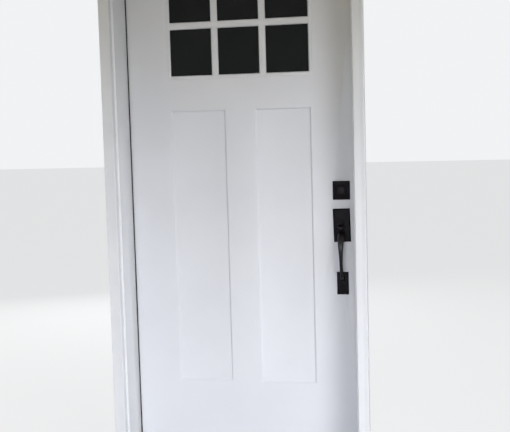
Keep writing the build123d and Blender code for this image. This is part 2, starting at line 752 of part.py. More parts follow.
def latch_bolt():
    """The sprung latch: a head with its slope towards the outside, and a tail in the case."""
    tip = X_EDGE + LATCH_THROW
    root = tip - LATCH_HEAD
    head = bolt_bar(root, tip, Z_HANDLE, LATCH_WIDTH, BOLT_RADIUS)
    y0 = Y_MID - LATCH_WIDTH / 2
    start, back = tip - LATCH_THROW + 1, y0 + LATCH_WIDTH - 2
    slope = make_face(Polyline((start, y0 - 1), (tip + 1, y0 - 1), (tip + 1, back), close=True))
    ramp = extrude(Plane.XY.offset(Z_HANDLE - BOLT_RADIUS - 1) * slope, 2 * BOLT_RADIUS + 2)
    tail = rod_x(X_EDGE - LATCH_TAIL, root, Y_MID, Z_HANDLE, LATCH_TAIL_RADIUS)
    return head - ramp + tail


def deadbolt_bolt():
    tip = X_EDGE - SEAT
    bar = bolt_bar(tip - DEADBOLT_LENGTH, tip, Z_DEADBOLT, DEADBOLT_WIDTH, BOLT_RADIUS)
    return chamfer(bar.faces().sort_by(Axis.X)[-1].edges(), 1.0)


def strike_blank(z):
    """A strike plate let into the rabbet face."""
    y0, y1 = Y_MID - STRIKE_WIDTH / 2, Y_MID + STRIKE_WIDTH / 2
    shape = Pos((y0 + y1) / 2, z) * RectangleRounded(y1 - y0, STRIKE_HEIGHT, 5)
    return extrude(Plane.YZ.offset(X_RABBET) * shape, STRIKE)


def bolt_pocket(z, width, x1):
    """The hole that a thrown bolt enters."""
    y = width / 2 + POCKET_ROOM
    high = BOLT_RADIUS + POCKET_ROOM
    return block(X_RABBET - 1, x1, Y_MID - y, Y_MID + y, z - high, z + high)


def strike_screw_places(z):
    for side in (-1, 1):
        yield (X_RABBET, Y_MID, z + side * (STRIKE_HEIGHT / 2 - 8)), (-1, 0, 0)


def strike(z, width, lip):
    """A strike plate; the latch's has a lip that runs to the inner edge of the jamb."""
    plate = strike_blank(z)
    if lip:
        plate = plate + block(X_RABBET, X_RABBET + STRIKE, Y_MID, Y_IN + 1.5, z - 16, z + 16)
    plate = plate - bolt_pocket(z, width, X_RABBET + STRIKE + 1)
    for place, way in strike_screw_places(z):
        plate = plate - screw(place, way, STRIKE_SCREW, SCREW_ROOM)
    return plate


def strike_jamb_cuts():
    """Seats for the strikes, the latch's blind pocket and the deadbolt's hole through the jamb."""
    latch_end = X_EDGE + LATCH_THROW + POCKET_ROOM
    cuts = [strike_blank(Z_HANDLE), strike_blank(Z_DEADBOLT)]
    cuts.append(block(X_RABBET, X_RABBET + STRIKE, Y_MID, Y_IN + 1, Z_HANDLE - 16, Z_HANDLE + 16))
    cuts.append(bolt_pocket(Z_HANDLE, LATCH_WIDTH, latch_end))
    cuts.append(bolt_pocket(Z_DEADBOLT, DEADBOLT_WIDTH, X_BACK + 1))
    for z in (Z_HANDLE, Z_DEADBOLT):
        for place, way in strike_screw_places(z):
            cuts.append(screw(place, way, STRIKE_SCREW, SCREW_ROOM))
    return cuts


# Outside trim


def bevelled_plate(x, z, width, height):
    """A trim plate against the outer skin, with its front edges bevelled."""
    front = Y_FACE - PLATE
    shoulder = PLATE * 0.45
    base = block(x - width / 2, x + width / 2, Y_FACE - shoulder, Y_FACE, z - height / 2, z + height / 2)
    top = frustum(
        x, z, Y_FACE - shoulder, width, height, front, width - 2 * PLATE_BEVEL, height - 2 * PLATE_BEVEL
    )
    return base + top


def post_places(z):
    """The two screw posts of a trim plate, above and below the bolt's case."""
    return [z - POST_OFFSET, z + POST_OFFSET]


def trim_posts(z):
    """Posts that stand in the bore behind a plate, bored for the screws from inside."""
    posts = []
    for height in post_places(z):
        post = rod_y(X_BORE, Y_FACE - 1, Y_FACE + 16, height, POST_RADIUS)
        posts.append(post - rod_y(X_BORE, Y_FACE + 2, Y_FACE + 17, height, TRIM_SCREW[0] + SCREW_ROOM))
    return posts


def deadbolt_escutcheon():
    """Square plate with a round collar round the lock cylinder."""
    plate = bevelled_plate(X_BORE, Z_DEADBOLT, DEADBOLT_PLATE_WIDTH, DEADBOLT_PLATE_HEIGHT)
    front = Y_FACE - PLATE
    collar = Plane(origin=(X_BORE, front + 1, Z_DEADBOLT), z_dir=(0, -1, 0)) * extrude(
        Circle(COLLAR_RADIUS), COLLAR_HEIGHT + 1, taper=8
    )
    plate = plate + collar
    for post in trim_posts(Z_DEADBOLT):
        plate = plate + post
    rim = front - COLLAR_HEIGHT - 1
    return plate - rod_y(X_BORE, rim, Y_FACE + 1, Z_DEADBOLT, CYLINDER_RADIUS + RUNNING)


def lock_cylinder():
    """The round cylinder in the collar, bored for its plug, with a slightly domed face."""
    front = Y_FACE - PLATE - COLLAR_HEIGHT
    radius, length = CYLINDER_RADIUS, CYLINDER_LENGTH
    profile = Polyline(
        (0, 0), (radius, 0), (radius, length - 2.0), (radius - 2.0, length - 0.6), (0, length), close=True
    )
    body = revolve(Plane.XZ * make_face(profile), Axis.Z)
    placed = Plane(origin=(X_BORE, front - 1.0 + length, Z_DEADBOLT), z_dir=(0, -1, 0)) * body
    return placed - rod_y(X_BORE, front - 5, Y_FACE + 30, Z_DEADBOLT, PLUG_RADIUS + RUNNING)


def key_plug():
    """The turning plug with its keyway, and the flat tail that reaches the bolt's hub."""
    front = Y_FACE - PLATE - COLLAR_HEIGHT - 1.0
    back = front + CYLINDER_LENGTH + 0.5
    plug = rod_y(X_BORE, front, back, Z_DEADBOLT, PLUG_RADIUS)
    keyway = block(X_BORE - 0.9, X_BORE + 0.9, front - 1, front + 18, Z_DEADBOLT - 4.5, Z_DEADBOLT + 4.5)
    tail = block(X_BORE - 1, X_BORE + 1, back - 1, Y_MID - 1, Z_DEADBOLT - 3, Z_DEADBOLT + 3)
    return plug - keyway + tail


def upper_handle_plate():
    """The tall plate, hung a little out of plumb, with the thumb piece's slot and lugs."""
    height = UPPER_PLATE_ABOVE + UPPER_PLATE_BELOW
    middle = Z_HANDLE + (UPPER_PLATE_ABOVE - UPPER_PLATE_BELOW) / 2
    lean = Rot(0, -UPPER_PLATE_LEAN, 0)
    plate = Pos(X_BORE, 0, middle) * lean * bevelled_plate(0, 0, UPPER_PLATE_WIDTH, height)
    half = THUMB_WIDTH / 4 + SLIDING
    slot = block(
        X_BORE - half, X_BORE + half, Y_FACE - PLATE - 1, Y_FACE + 1,
        Z_THUMB - THUMB_THICKNESS - 5, Z_THUMB + THUMB_THICKNESS + 1,
    )
    plate = plate - slot
    for side in (-1, 1):
        a, b = sorted((X_BORE + side * (half + 0.4), X_BORE + side * (half + 4)))
        plate = plate + block(a, b, Y_FACE - 1, Y_FACE + 9, Z_THUMB - 5, Z_THUMB + 5)
    for post in trim_posts(Z_HANDLE):
        plate = plate + post
    pin_y = Y_FACE + THUMB_PIN_BEHIND
    return plate - rod_x(X_BORE - 30, X_BORE + 30, pin_y, Z_THUMB, THUMB_PIN_RADIUS + RUNNING)


def thumb_piece():
    """The thumb latch: a dished pad outside, a tail inside, and the pin that it rocks on."""
    pin_y = Y_FACE + THUMB_PIN_BEHIND
    neck = THUMB_WIDTH / 4
    tip = Y_FACE - PLATE - THUMB_REACH
    half = THUMB_THICKNESS / 2
    arm = block(-neck, neck, Y_FACE - PLATE - 6, Y_FACE + THUMB_TAIL, Z_THUMB - half, Z_THUMB + half)
    arm = Pos(X_BORE, 0, 0) * arm
    outline = RectangleRounded(THUMB_WIDTH, THUMB_REACH - 3, THUMB_WIDTH / 2 - 1)
    blank = Pos(X_BORE, tip + (THUMB_REACH - 3) / 2) * outline
    pad = extrude(Plane.XY.offset(Z_THUMB - 14) * blank, 18)
    bend_y, bend_z = Y_FACE - PLATE - 8, Z_THUMB + half - THUMB_BEND
    shell = rod_x(X_BORE - 20, X_BORE + 20, bend_y, bend_z, THUMB_BEND)
    shell = shell - rod_x(X_BORE - 21, X_BORE + 21, bend_y, bend_z, THUMB_BEND - THUMB_THICKNESS)
    pad = pad & shell
    pin = rod_x(X_BORE - neck - 4.2, X_BORE + neck + 4.2, pin_y, Z_THUMB, THUMB_PIN_RADIUS)
    return pad + arm + pin


def grip_stations():
    """The grip's sections: (out from the plate, drop below the bore, width, depth, lean)."""
    top, foot = GRIP_TOP_DROP, GRIP_FOOT_DROP
    reach, width, waist = GRIP_REACH, GRIP_TOP_WIDTH, GRIP_WAIST_WIDTH
    run = foot - top
    return [
        (-1.0, top, width, 25.0, 0),
        (reach * 0.36, top + run * 0.01, width, 20.0, 12),
        (reach * 0.74, top + run * 0.07, width, 15.0, 45),
        (reach * 0.97, top + run * 0.20, width * 0.88, 12.5, 76),
        (reach, top + run * 0.42, (width + waist) * 0.42, 11.0, 92),
        (reach * 0.86, top + run * 0.68, waist, 10.0, 102),
        (reach * 0.52, top + run * 0.89, waist, 10.0, 122),
        (reach * 0.22, top + run * 0.98, waist + 1.0, 11.0, 150),
        (-1.0, foot, waist + 3.0, 13.0, 176),
    ]


def bow_grip():
    """The curved pull, lofted through rounded sections from the upper plate to the lower one."""
    front = Y_FACE - PLATE
    sections = []
    for out, drop, width, depth, lean in grip_stations():
        place = (X_BORE, front - out, Z_HANDLE - drop)
        along = (0, -cos(radians(lean)), -sin(radians(lean)))
        across = Plane(origin=place, x_dir=(1, 0, 0), z_dir=along)
        sections.append(across * RectangleRounded(width, depth, min(width, depth) * 0.42))
    return loft(sections)


def lower_handle_plate():
    """The lower plate, with the post that takes the grip's screw."""
    plate = bevelled_plate(X_BORE, Z_FOOT, LOWER_PLATE_WIDTH, LOWER_PLATE_HEIGHT)
    post = rod_y(X_BORE, Y_FACE - 1, Y_FACE + 16, Z_FOOT, POST_RADIUS)
    button = rod_y(X_BORE, Y_FACE - PLATE - 1, Y_FACE - PLATE + 1, Z_FOOT, BUTTON_RADIUS)
    button = chamfer(button.faces().sort_by(Axis.Y)[0].edges(), 0.6)
    bore = rod_y(X_BORE, Y_FACE + 2, Y_FACE + 17, Z_FOOT, TRIM_SCREW[0] + SCREW_ROOM)
    return plate + button + post - bore


# Inside trim


def trim_screw_size():
    """The long screws run from a rose's face to just behind the outer skin."""
    return (*TRIM_SCREW, Y_IN + ROSE - Y_FACE - TRIM_SCREW_STOPS)


def rose(z, bore):
    """A round rose against the inner skin, with its edge bevelled."""
    edge, face = (ROSE_RADIUS, ROSE / 2), (ROSE_RADIUS - 4, ROSE)
    profile = Polyline((0, 0), (ROSE_RADIUS, 0), edge, face, (0, ROSE), close=True)
    disc = revolve(Plane.XZ * make_face(profile), Axis.Z)
    disc = Plane(origin=(X_BORE, Y_IN, z), z_dir=(0, 1, 0)) * disc
    disc = disc - rod_y(X_BORE, Y_IN - 1, Y_IN + ROSE + 1, z, bore)
    for height in post_places(z):
        disc = disc - screw((X_BORE, Y_IN + ROSE, height), (0, 1, 0), trim_screw_size(), SCREW_ROOM)
    return disc


def trim_screws(z):
    """Long screws from the inside rose to the posts of the outside plate."""
    places = [(X_BORE, Y_IN + ROSE, height) for height in post_places(z)]
    return [screw(place, (0, 1, 0), trim_screw_size()) for place in places]


def foot_screw():
    """The grip's lower screw, with a wide flat head on the inner skin."""
    head = rod_y(X_BORE, Y_IN, Y_IN + FOOT_SCREW_HEAD_HEIGHT, Z_FOOT, FOOT_SCREW_HEAD)
    return head + rod_y(X_BORE, Y_FACE + TRIM_SCREW_STOPS, Y_IN + 1, Z_FOOT, TRIM_SCREW[0])


def inside_knob():
    """A turned knob on its square spindle."""
    neck, reach, radius = KNOB_NECK, KNOB_REACH, KNOB_RADIUS
    lines = Polyline((0, 2), (neck, 2), (neck, reach * 0.42))
    under = ThreePointArc((neck, reach * 0.42), (radius * 0.82, reach * 0.55), (radius, reach * 0.74))
    over = ThreePointArc((radius, reach * 0.74), (radius * 0.84, reach * 0.93), (radius * 0.45, reach))
    close = Polyline((radius * 0.45, reach), (0, reach), (0, 2))
    knob = revolve(Plane.XZ * make_face(Curve() + [lines, under, over, close]), Axis.Z)
    knob = Plane(origin=(X_BORE, Y_IN, Z_HANDLE), z_dir=(0, 1, 0)) * knob
    half = SPINDLE / 2
    spindle = block(X_BORE - half, X_BORE + half, Y_MID - 8, Y_IN + 3, Z_HANDLE - half, Z_HANDLE + half)
    return knob + spindle


def thumb_turn():
    """The inside turn piece of the deadbolt, upright when the bolt is withdrawn."""
    base = Y_IN + ROSE + SEAT
    stem = rod_y(X_BORE, Y_IN + 1, base + 5, Z_DEADBOLT, 6.0)
    collar = rod_y(X_BORE, base, base + 4, Z_DEADBOLT, 11.0)
    shape = RectangleRounded(TURN_WIDTH, TURN_LENGTH, TURN_WIDTH / 2 - 0.2)
    paddle = Plane(origin=(X_BORE, base + 3, Z_DEADBOLT), x_dir=(1, 0, 0), z_dir=(0, 1, 0)) * extrude(
        shape, TURN_REACH - 3, taper=4
    )
    bar = block(X_BORE - 1, X_BORE + 1, Y_MID + 1, Y_IN + 2, Z_DEADBOLT - 3, Z_DEADBOLT + 3)
    return stem + collar + paddle + bar


def build():
    """Every node of the door, by name."""
    nodes = {}
    frame_cuts = frame_screw_cuts()

    left = side_jamb(-1)
    for z in HINGE_HEIGHTS:
        left = left - leaf_pocket(z, -X_RABBET - HINGE_LEAF, -X_RABBET + 1)
    for cut in hinge_screw_cuts(-X_RABBET, 1) + frame_cuts:
        left = left - cut
    right = side_jamb(1)
    for cut in strike_jamb_cuts() + frame_cuts:
        right = right - cut
    head = head_jamb()
    base = sill_base()
    for cut in frame_cuts:
        head = head - cut
        base = base - cut
    nodes["hinge_jamb"], nodes["strike_jamb"], nodes["head_jamb"] = left, right, head
    nodes["sill_base"], nodes["sill_deck"], nodes["sill_cap"] = base, sill_deck(), sill_cap()

    mould_left, mould_right, mould_head = brickmould()
    nodes["brickmould_left"] = mould_left
    nodes["brickmould_right"] = mould_right
    nodes["brickmould_head"] = mould_head
    strip_left, strip_right, strip_head = weatherstrips()
    nodes["weatherstrip_left"] = strip_left
    nodes["weatherstrip_right"] = strip_right
    nodes["weatherstrip_head"] = strip_head
    nodes["corner_pads"] = corner_pads()
    nodes["frame_screws"] = group(screw(place, way, FRAME_SCREW) for place, way in frame_screw_places())

    for name, z in zip(HINGE_NAMES, HINGE_HEIGHTS):
        nodes[name + "_hinge_jamb_leaf"] = jamb_leaf(z)
        nodes[name + "_hinge_door_leaf"] = door_leaf(z)
    nodes["hinge_pins"] = hinge_pins()
    nodes["jamb_hinge_screws"] = group(hinge_screws(-X_RABBET, 1))
    nodes["door_hinge_screws"] = group(hinge_screws(-X_EDGE, -1))

    inner = skin(Y_IN, -1)
    for cut in door_pockets():
        inner = inner - cut
    nodes["exterior_skin"], nodes["interior_skin"] = skin(Y_FACE, 1), inner
    nodes["hinge_stile"], nodes["lock_stile"] = hinge_stile(), lock_stile()
    nodes["top_rail"] = slab_rail(Z_SLAB_TOP - TOP_RAIL, Z_SLAB_TOP)
    nodes["bottom_rail"] = bottom_rail()
    nodes["lock_block"], nodes["foam_core"] = lock_block(), foam_core()
    nodes["door_sweep"] = door_sweep()

    outer_y = Y_FACE + GLASS_SUNK
    inner_y = outer_y + 2 * PANE + AIR_SPACE
    nodes["exterior_lite_frame"] = lite_frame(outer_y, Y_FACE, -1)
    nodes["interior_lite_frame"] = lite_frame(inner_y, Y_IN, 1)
    nodes["outer_glass_pane"] = glass_pane(outer_y)
    nodes["glass_spacer"] = glass_spacer(outer_y + PANE)
    nodes["inner_glass_pane"] = glass_pane(inner_y - PANE)

    nodes["latch_case"] = bolt_case(Z_HANDLE, LATCH_WIDTH)
    nodes["deadbolt_case"] = bolt_case(Z_DEADBOLT, DEADBOLT_WIDTH)
    places = faceplate_screw_places()
    nodes["faceplate_screws"] = group(screw(place, way, FACE_SCREW) for place, way in places)
    nodes["latch_bolt"], nodes["deadbolt_bolt"] = latch_bolt(), deadbolt_bolt()
    nodes["latch_strike"] = strike(Z_HANDLE, LATCH_WIDTH, True)
    nodes["deadbolt_strike"] = strike(Z_DEADBOLT, DEADBOLT_WIDTH, False)
    places = [p for z in (Z_HANDLE, Z_DEADBOLT) for p in strike_screw_places(z)]
    nodes["strike_screws"] = group(screw(place, way, STRIKE_SCREW) for place, way in places)

    nodes["deadbolt_escutcheon"], nodes["lock_cylinder"] = deadbolt_escutcheon(), lock_cylinder()
    nodes["key_plug"] = key_plug()
    nodes["deadbolt_rose"], nodes["thumb_turn"] = rose(Z_DEADBOLT, 6.0 + RUNNING), thumb_turn()
    nodes["deadbolt_screws"] = group(trim_screws(Z_DEADBOLT))
    grip = bow_grip()
    nodes["upper_handle_plate"] = upper_handle_plate() - grip
    nodes["bow_grip"] = grip
    nodes["lower_handle_plate"] = lower_handle_plate() - grip
    nodes["thumb_piece"] = thumb_piece()
    nodes["knob_rose"], nodes["inside_knob"] = rose(Z_HANDLE, KNOB_NECK + RUNNING), inside_knob()
    nodes["handle_screws"] = group(trim_screws(Z_HANDLE) + [foot_screw()])
    return nodes


os.makedirs("parts", exist_ok=True)
for node, shape in build().items():
    export_step(shape, f"parts/{node}.step")
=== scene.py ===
import json
import math

import bpy
from mathutils import Matrix, Quaternion, Vector

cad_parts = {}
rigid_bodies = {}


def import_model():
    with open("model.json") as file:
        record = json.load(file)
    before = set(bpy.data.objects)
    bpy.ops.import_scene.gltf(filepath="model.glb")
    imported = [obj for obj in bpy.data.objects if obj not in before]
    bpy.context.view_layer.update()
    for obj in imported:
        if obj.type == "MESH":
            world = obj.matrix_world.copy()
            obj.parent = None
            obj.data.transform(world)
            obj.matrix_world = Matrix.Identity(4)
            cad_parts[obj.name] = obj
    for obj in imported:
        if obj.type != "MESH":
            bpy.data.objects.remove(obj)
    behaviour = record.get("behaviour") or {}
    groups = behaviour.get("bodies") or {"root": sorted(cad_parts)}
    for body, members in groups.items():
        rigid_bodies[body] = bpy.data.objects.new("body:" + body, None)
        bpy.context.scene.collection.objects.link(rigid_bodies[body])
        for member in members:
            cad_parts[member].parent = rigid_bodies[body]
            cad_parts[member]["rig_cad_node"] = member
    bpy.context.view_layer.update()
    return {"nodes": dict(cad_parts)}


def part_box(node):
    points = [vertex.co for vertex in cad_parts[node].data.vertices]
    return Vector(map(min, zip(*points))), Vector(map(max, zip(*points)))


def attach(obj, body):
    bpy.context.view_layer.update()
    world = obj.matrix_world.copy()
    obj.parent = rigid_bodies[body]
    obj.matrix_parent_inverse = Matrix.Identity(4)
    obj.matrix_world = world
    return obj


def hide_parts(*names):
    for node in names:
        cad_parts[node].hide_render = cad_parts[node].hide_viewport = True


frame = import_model()


# The sill: a rigid composite base with moulded end caps, an extruded aluminium deck screwed down over
# it with drip ribs across the tread, and an adjustable composite cap that the door closes on.

class Value:
    """A socket of a finish, so that shader maths reads as a plain expression."""

    def __init__(self, finish, socket):
        self.finish, self.socket = finish, socket

    def math(self, operation, *others):
        sockets = dict(enumerate((self,) + others))
        return self.finish.node("Math", {"operation": operation}, sockets)

    def __add__(self, other):
        return self.math("ADD", other)

    def __sub__(self, other):
        return self.math("SUBTRACT", other)

    def __rsub__(self, other):
        return self.finish.node("Math", {"operation": "SUBTRACT"}, {0: other, 1: self})

    def __mul__(self, other):
        return self.math("MULTIPLY", other)

    __radd__, __rmul__ = __add__, __mul__


class Finish:
    """One material and the nodes that make it."""

    def __init__(self, name, **constants):
        self.material = bpy.data.materials.new(name)
        self.material.use_nodes = True
        self.nodes, self.links = self.material.node_tree.nodes, self.material.node_tree.links
        self.shader = self.nodes["Principled BSDF"]
        for socket, value in constants.items():
            label = socket.replace("_", " ").title().replace("Ior", "IOR")
            self.shader.inputs[label].default_value = value
        self.place = self.node("TexCoord", {}, {}, "Object")

    def node(self, kind, settings, sockets, output=0):
        """Any other node: its settings are set first, then its sockets take their values or links."""
        made = self.nodes.new("ShaderNode" + kind)
        for name, value in settings.items():
            setattr(made, name, value)
        for name, value in sockets.items():
            if isinstance(value, Value):
                self.links.new(value.socket, made.inputs[name])
            else:
                made.inputs[name].default_value = value
        return Value(self, made.outputs[output])

    def noise(self, scale, stretch=(1, 1, 1), detail=3, roughness=0.5):
        """Even noise about 0.5, with this many patches to a metre, times the stretch along each axis."""
        where = self.node("Mapping", {}, {"Vector": self.place, "Scale": stretch})
        sockets = {"Vector": where, "Scale": scale, "Detail": detail, "Roughness": roughness}
        return self.node("TexNoise", {}, sockets)

    def between(self, value, low, high):
        """0 where the value is at low, 1 where it is at high, and a smooth step between."""
        sockets = {"Value": value, "From Min": low, "From Max": high}
        return self.node("MapRange", {"interpolation_type": "SMOOTHSTEP"}, sockets)

    def blend(self, factor, first, second):
        """The first colour where the factor is 0 and the second where it is 1."""
        return self.node("Mix", {"data_type": "RGBA"}, {0: factor, 6: first, 7: second}, output=2)

    def drift(self, pattern, low, high, first, second):
        """A colour that drifts from the first to the second as the pattern goes from low to high."""
        return self.blend(self.between(pattern, low, high), first, second)

    def axis(self, letter):
        """The place along X, Y or Z, in metres."""
        return self.node("SeparateXYZ", {}, {0: self.place}, letter)

    def set(self, socket, value):
        self.links.new(value.socket, self.shader.inputs[socket])

    def bump(self, height, strength, distance):
        """Relief from a pattern, this many metres deep at full strength."""
        sockets = {"Height": height, "Strength": strength, "Distance": distance}
        self.set("Normal", self.node("Bump", {}, sockets))


def tone(red, green, blue):
    """A colour as it looks on a screen, 0 to 255, in the renderer's own linear scale."""
    screen = [channel / 255 for channel in (red, green, blue)]
    linear = [c / 12.92 if c <= 0.04045 else ((c + 0.055) / 1.055) ** 2.4 for c in screen]
    return (*linear, 1.0)


def finish_node(node, finish):
    """Gives a CAD node its finish."""
    for material_slot in frame["nodes"][node].material_slots:
        material_slot.material = finish.material


sill_grey = Finish("sill_composite")
speckle = sill_grey.noise(900, detail=2)
scuff = sill_grey.noise(14, stretch=(0.4, 1, 1), detail=5)
sill_grey.set("Base Color", sill_grey.drift(
    scuff + speckle * 0.25, 0.52, 0.82, tone(176, 172, 164), tone(146, 141, 132)))
sill_grey.set("Roughness", 0.48 + scuff * 0.2)
sill_grey.bump(speckle, 0.35, 0.0003)
for node in ("sill_base", "sill_cap"):
    finish_node(node, sill_grey)

mill_aluminium = Finish("sill_aluminium", metallic=1.0)
brushed = mill_aluminium.noise(60, stretch=(0.2, 8, 8), detail=4)
tread_wear = mill_aluminium.noise(16, stretch=(0.5, 1, 1), detail=6, roughness=0.6)
mill_aluminium.set("Base Color", mill_aluminium.drift(
    tread_wear, 0.40, 0.74, tone(205, 206, 208), tone(184, 183, 180)))
mill_aluminium.set("Roughness", 0.30 + brushed * 0.14 + tread_wear * 0.10)
mill_aluminium.bump(brushed, 0.25, 0.0004)
finish_node("sill_deck", mill_aluminium)


# The jambs and the head: finger-jointed pine, rabbeted for the door and kerfed for the seal, primed
# at the mill and brushed with white exterior paint once the unit is hung.

WELD_WITHIN = 0.00002
FLAT_WITHIN = math.radians(0.5)
SMOOTH_BELOW = math.radians(38)
JAMB_ARRIS = 0.0012
JAMB_SPLASH_TOP, JAMB_SPLASH_FULL = 0.14, 0.05


def pick(*pieces):
    """Selects these pieces and nothing else, with the first one active."""
    bpy.ops.object.select_all(action="DESELECT")
    for piece in pieces:
        piece.select_set(True)
    bpy.context.view_layer.objects.active = pieces[0]


def copy_solid(node, name, body):
    """A piece cut to the lines of a CAD node, which it stands for."""
    pick(frame["nodes"][node])
    bpy.ops.object.duplicate()
    piece = bpy.context.active_object
    piece.name = piece.data.name = name
    del piece["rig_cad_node"]
    bpy.ops.object.mode_set(mode="EDIT")
    bpy.ops.mesh.select_all(action="SELECT")
    bpy.ops.mesh.remove_doubles(threshold=WELD_WITHIN)
    bpy.ops.mesh.dissolve_limited(angle_limit=FLAT_WITHIN)
    bpy.ops.mesh.select_all(action="DESELECT")
    bpy.ops.object.mode_set(mode="OBJECT")
    if piece.data.has_custom_normals:
        bpy.ops.mesh.customdata_custom_splitnormals_clear()
    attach(piece, body)
    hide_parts(node)
    return piece


def ease_edges(piece, width, segments=2, angle=35):
    """Rounds the piece's edges, as a router bit, a die or a coat of paint leaves them."""
    pick(piece)
    rounding = piece.modifiers.new("rounding", "BEVEL")
    rounding.width, rounding.segments = width, segments
    rounding.limit_method, rounding.angle_limit = "ANGLE", math.radians(angle)
    rounding.use_clamp_overlap = True
    bpy.ops.object.modifier_apply(modifier="rounding")
    bpy.ops.object.shade_smooth_by_angle(angle=SMOOTH_BELOW)


def paint(piece, finish):
    """Gives a piece its finish."""
    piece.data.materials.clear()
    piece.data.materials.append(finish.material)


def trim_paint(name, along):
    """White trim paint brushed along the length: faint strokes, a little mottling, thin at the foot."""
    stretch = {"X": (0.05, 1, 1), "Z": (1, 1, 0.05)}[along]
    white = Finish(name)
    strokes = white.noise(420, stretch=stretch)
    cloud = white.noise(5, detail=4)
    grime = white.noise(38, detail=5)
    splash = white.between(white.axis("Z") + grime * 0.09, JAMB_SPLASH_TOP, JAMB_SPLASH_FULL)
    clean = white.drift(cloud, 0.35, 0.68, tone(241, 243, 244), tone(237, 239, 241))
    white.set("Base Color", white.blend(splash * 0.4, clean, tone(184, 177, 162)))
    white.set("Roughness", 0.38 + cloud * 0.12 + splash * 0.15)
    white.bump(strokes + grime * 0.3, 0.22, 0.0004)
    return white


upright_paint = trim_paint("trim_paint_upright", "Z")
level_paint = trim_paint("trim_paint_level", "X")
for node in ("hinge_jamb", "strike_jamb", "head_jamb"):
    jamb = copy_solid(node, "painted_" + node, "frame")
    ease_edges(jamb, JAMB_ARRIS)
    paint(jamb, level_paint if node == "head_jamb" else upright_paint)


# The brick mould: a milled moulding with a broad flat towards the opening and an outer part that rises
# to the wall side, mitred at the top corners, nailed to the jambs' outer edges and painted with them.

MOULD_RISE = 0.0028
MOULD_SLOPE = 0.0137
MOULD_NOSE = 0.0025
MOULD_FOLD = 0.004
MOULD_ARRIS = 0.0012
FRONT_WITHIN = 0.004
NEAR = 0.0001


def block(name, low, high):
    """A square block of stock between two corners, in metres."""
    low, high = Vector(low), Vector(high)
    bpy.ops.object.select_all(action="DESELECT")
    bpy.ops.mesh.primitive_cube_add(size=1, location=(low + high) / 2, scale=high - low)
    made = bpy.context.active_object
    made.name = made.data.name = name
    bpy.ops.object.transform_apply(location=True, rotation=True, scale=True)
    return made


def select_edges(piece, wanted):
    """In edit mode, selects only the edges that have both ends where they are wanted."""
    bpy.ops.mesh.select_mode(type="EDGE")
    bpy.ops.mesh.select_all(action="DESELECT")
    bpy.ops.object.mode_set(mode="OBJECT")
    for edge in piece.data.edges:
        edge.select = all(wanted(piece.data.vertices[number].co) for number in edge.vertices)
    bpy.ops.object.mode_set(mode="EDIT")


def mill_mould(side, across, outwards, mitres):
    """A length of moulding: cut square, sloped at its outer part, rounded at its nose, then mitred.

    Its width lies along the axis numbered across, and outwards is the sign of the way to the wall.
    """
    low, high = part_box("brickmould_" + side)
    mould = block("painted_brickmould_" + side, low, high)
    outer, inner = (high[across], low[across]) if outwards > 0 else (low[across], high[across])
    fold = outer - outwards * MOULD_SLOPE
    plane = [fold if axis == across else 0 for axis in range(3)]
    normal = [float(axis == across) for axis in range(3)]
    bpy.ops.object.mode_set(mode="EDIT")
    bpy.ops.mesh.select_mode(type="VERT")
    bpy.ops.mesh.select_all(action="SELECT")
    bpy.ops.mesh.bisect(plane_co=plane, plane_no=normal)
    bpy.ops.mesh.select_all(action="DESELECT")
    bpy.ops.object.mode_set(mode="OBJECT")
    for vertex in mould.data.vertices:
        on_face = vertex.co.y < low.y + NEAR
        on_flat = (outer - vertex.co[across]) * outwards > MOULD_SLOPE - NEAR
        vertex.select = on_face and on_flat
    bpy.ops.object.mode_set(mode="EDIT")
    bpy.ops.transform.translate(value=(0, MOULD_RISE, 0))
    for place, radius, segments in ((inner, MOULD_NOSE, 5), (fold, MOULD_FOLD, 4)):
        select_edges(mould, lambda end: abs(end[across] - place) < NEAR and end.y < low.y + FRONT_WITHIN)
        bpy.ops.mesh.bevel(offset=radius, segments=segments, affect="EDGES")
    bpy.ops.mesh.select_mode(type="VERT")
    for corner, cut in mitres:
        bpy.ops.mesh.select_all(action="SELECT")
        bpy.ops.mesh.bisect(plane_co=corner, plane_no=cut, clear_outer=True, use_fill=True)
    bpy.ops.mesh.select_all(action="DESELECT")
    bpy.ops.object.mode_set(mode="OBJECT")
    ease_edges(mould, MOULD_ARRIS, segments=3, angle=40)
    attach(mould, "frame")
    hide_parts("brickmould_" + side)
    paint(mould, level_paint if side == "head" else upright_paint)


head_low, head_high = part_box("brickmould_head")
left_corner, right_corner = (head_low.x, 0, head_high.z), (head_high.x, 0, head_high.z)
mill_mould("left", 0, -1, [(left_corner, (1, 0, 1))])
mill_mould("right", 0, 1, [(right_corner, (-1, 0, 1))])
mill_mould("head", 2, 1, [(left_corner, (-1, 0, -1)), (right_corner, (1, 0, -1))])


# The painter's caulk and filler: a bead tooled with a wet finger into the corner where the mould meets
# the jambs' front edges, and a dab of filler over the sunk head of each nail in the mould's flat.

CAULK = 0.003
CAULK_HOLLOW = 0.0026
NAILS_A_SIDE = 6
NAIL_LINE = 0.0232
NAIL_FOOT, NAIL_PITCH, HEAD_NAIL_PITCH = 0.16, 0.376, 0.36
FILLER_RADIUS, FILLER_PROUD = 0.0026, 0.0003
DISC_ROUNDING = 0.6


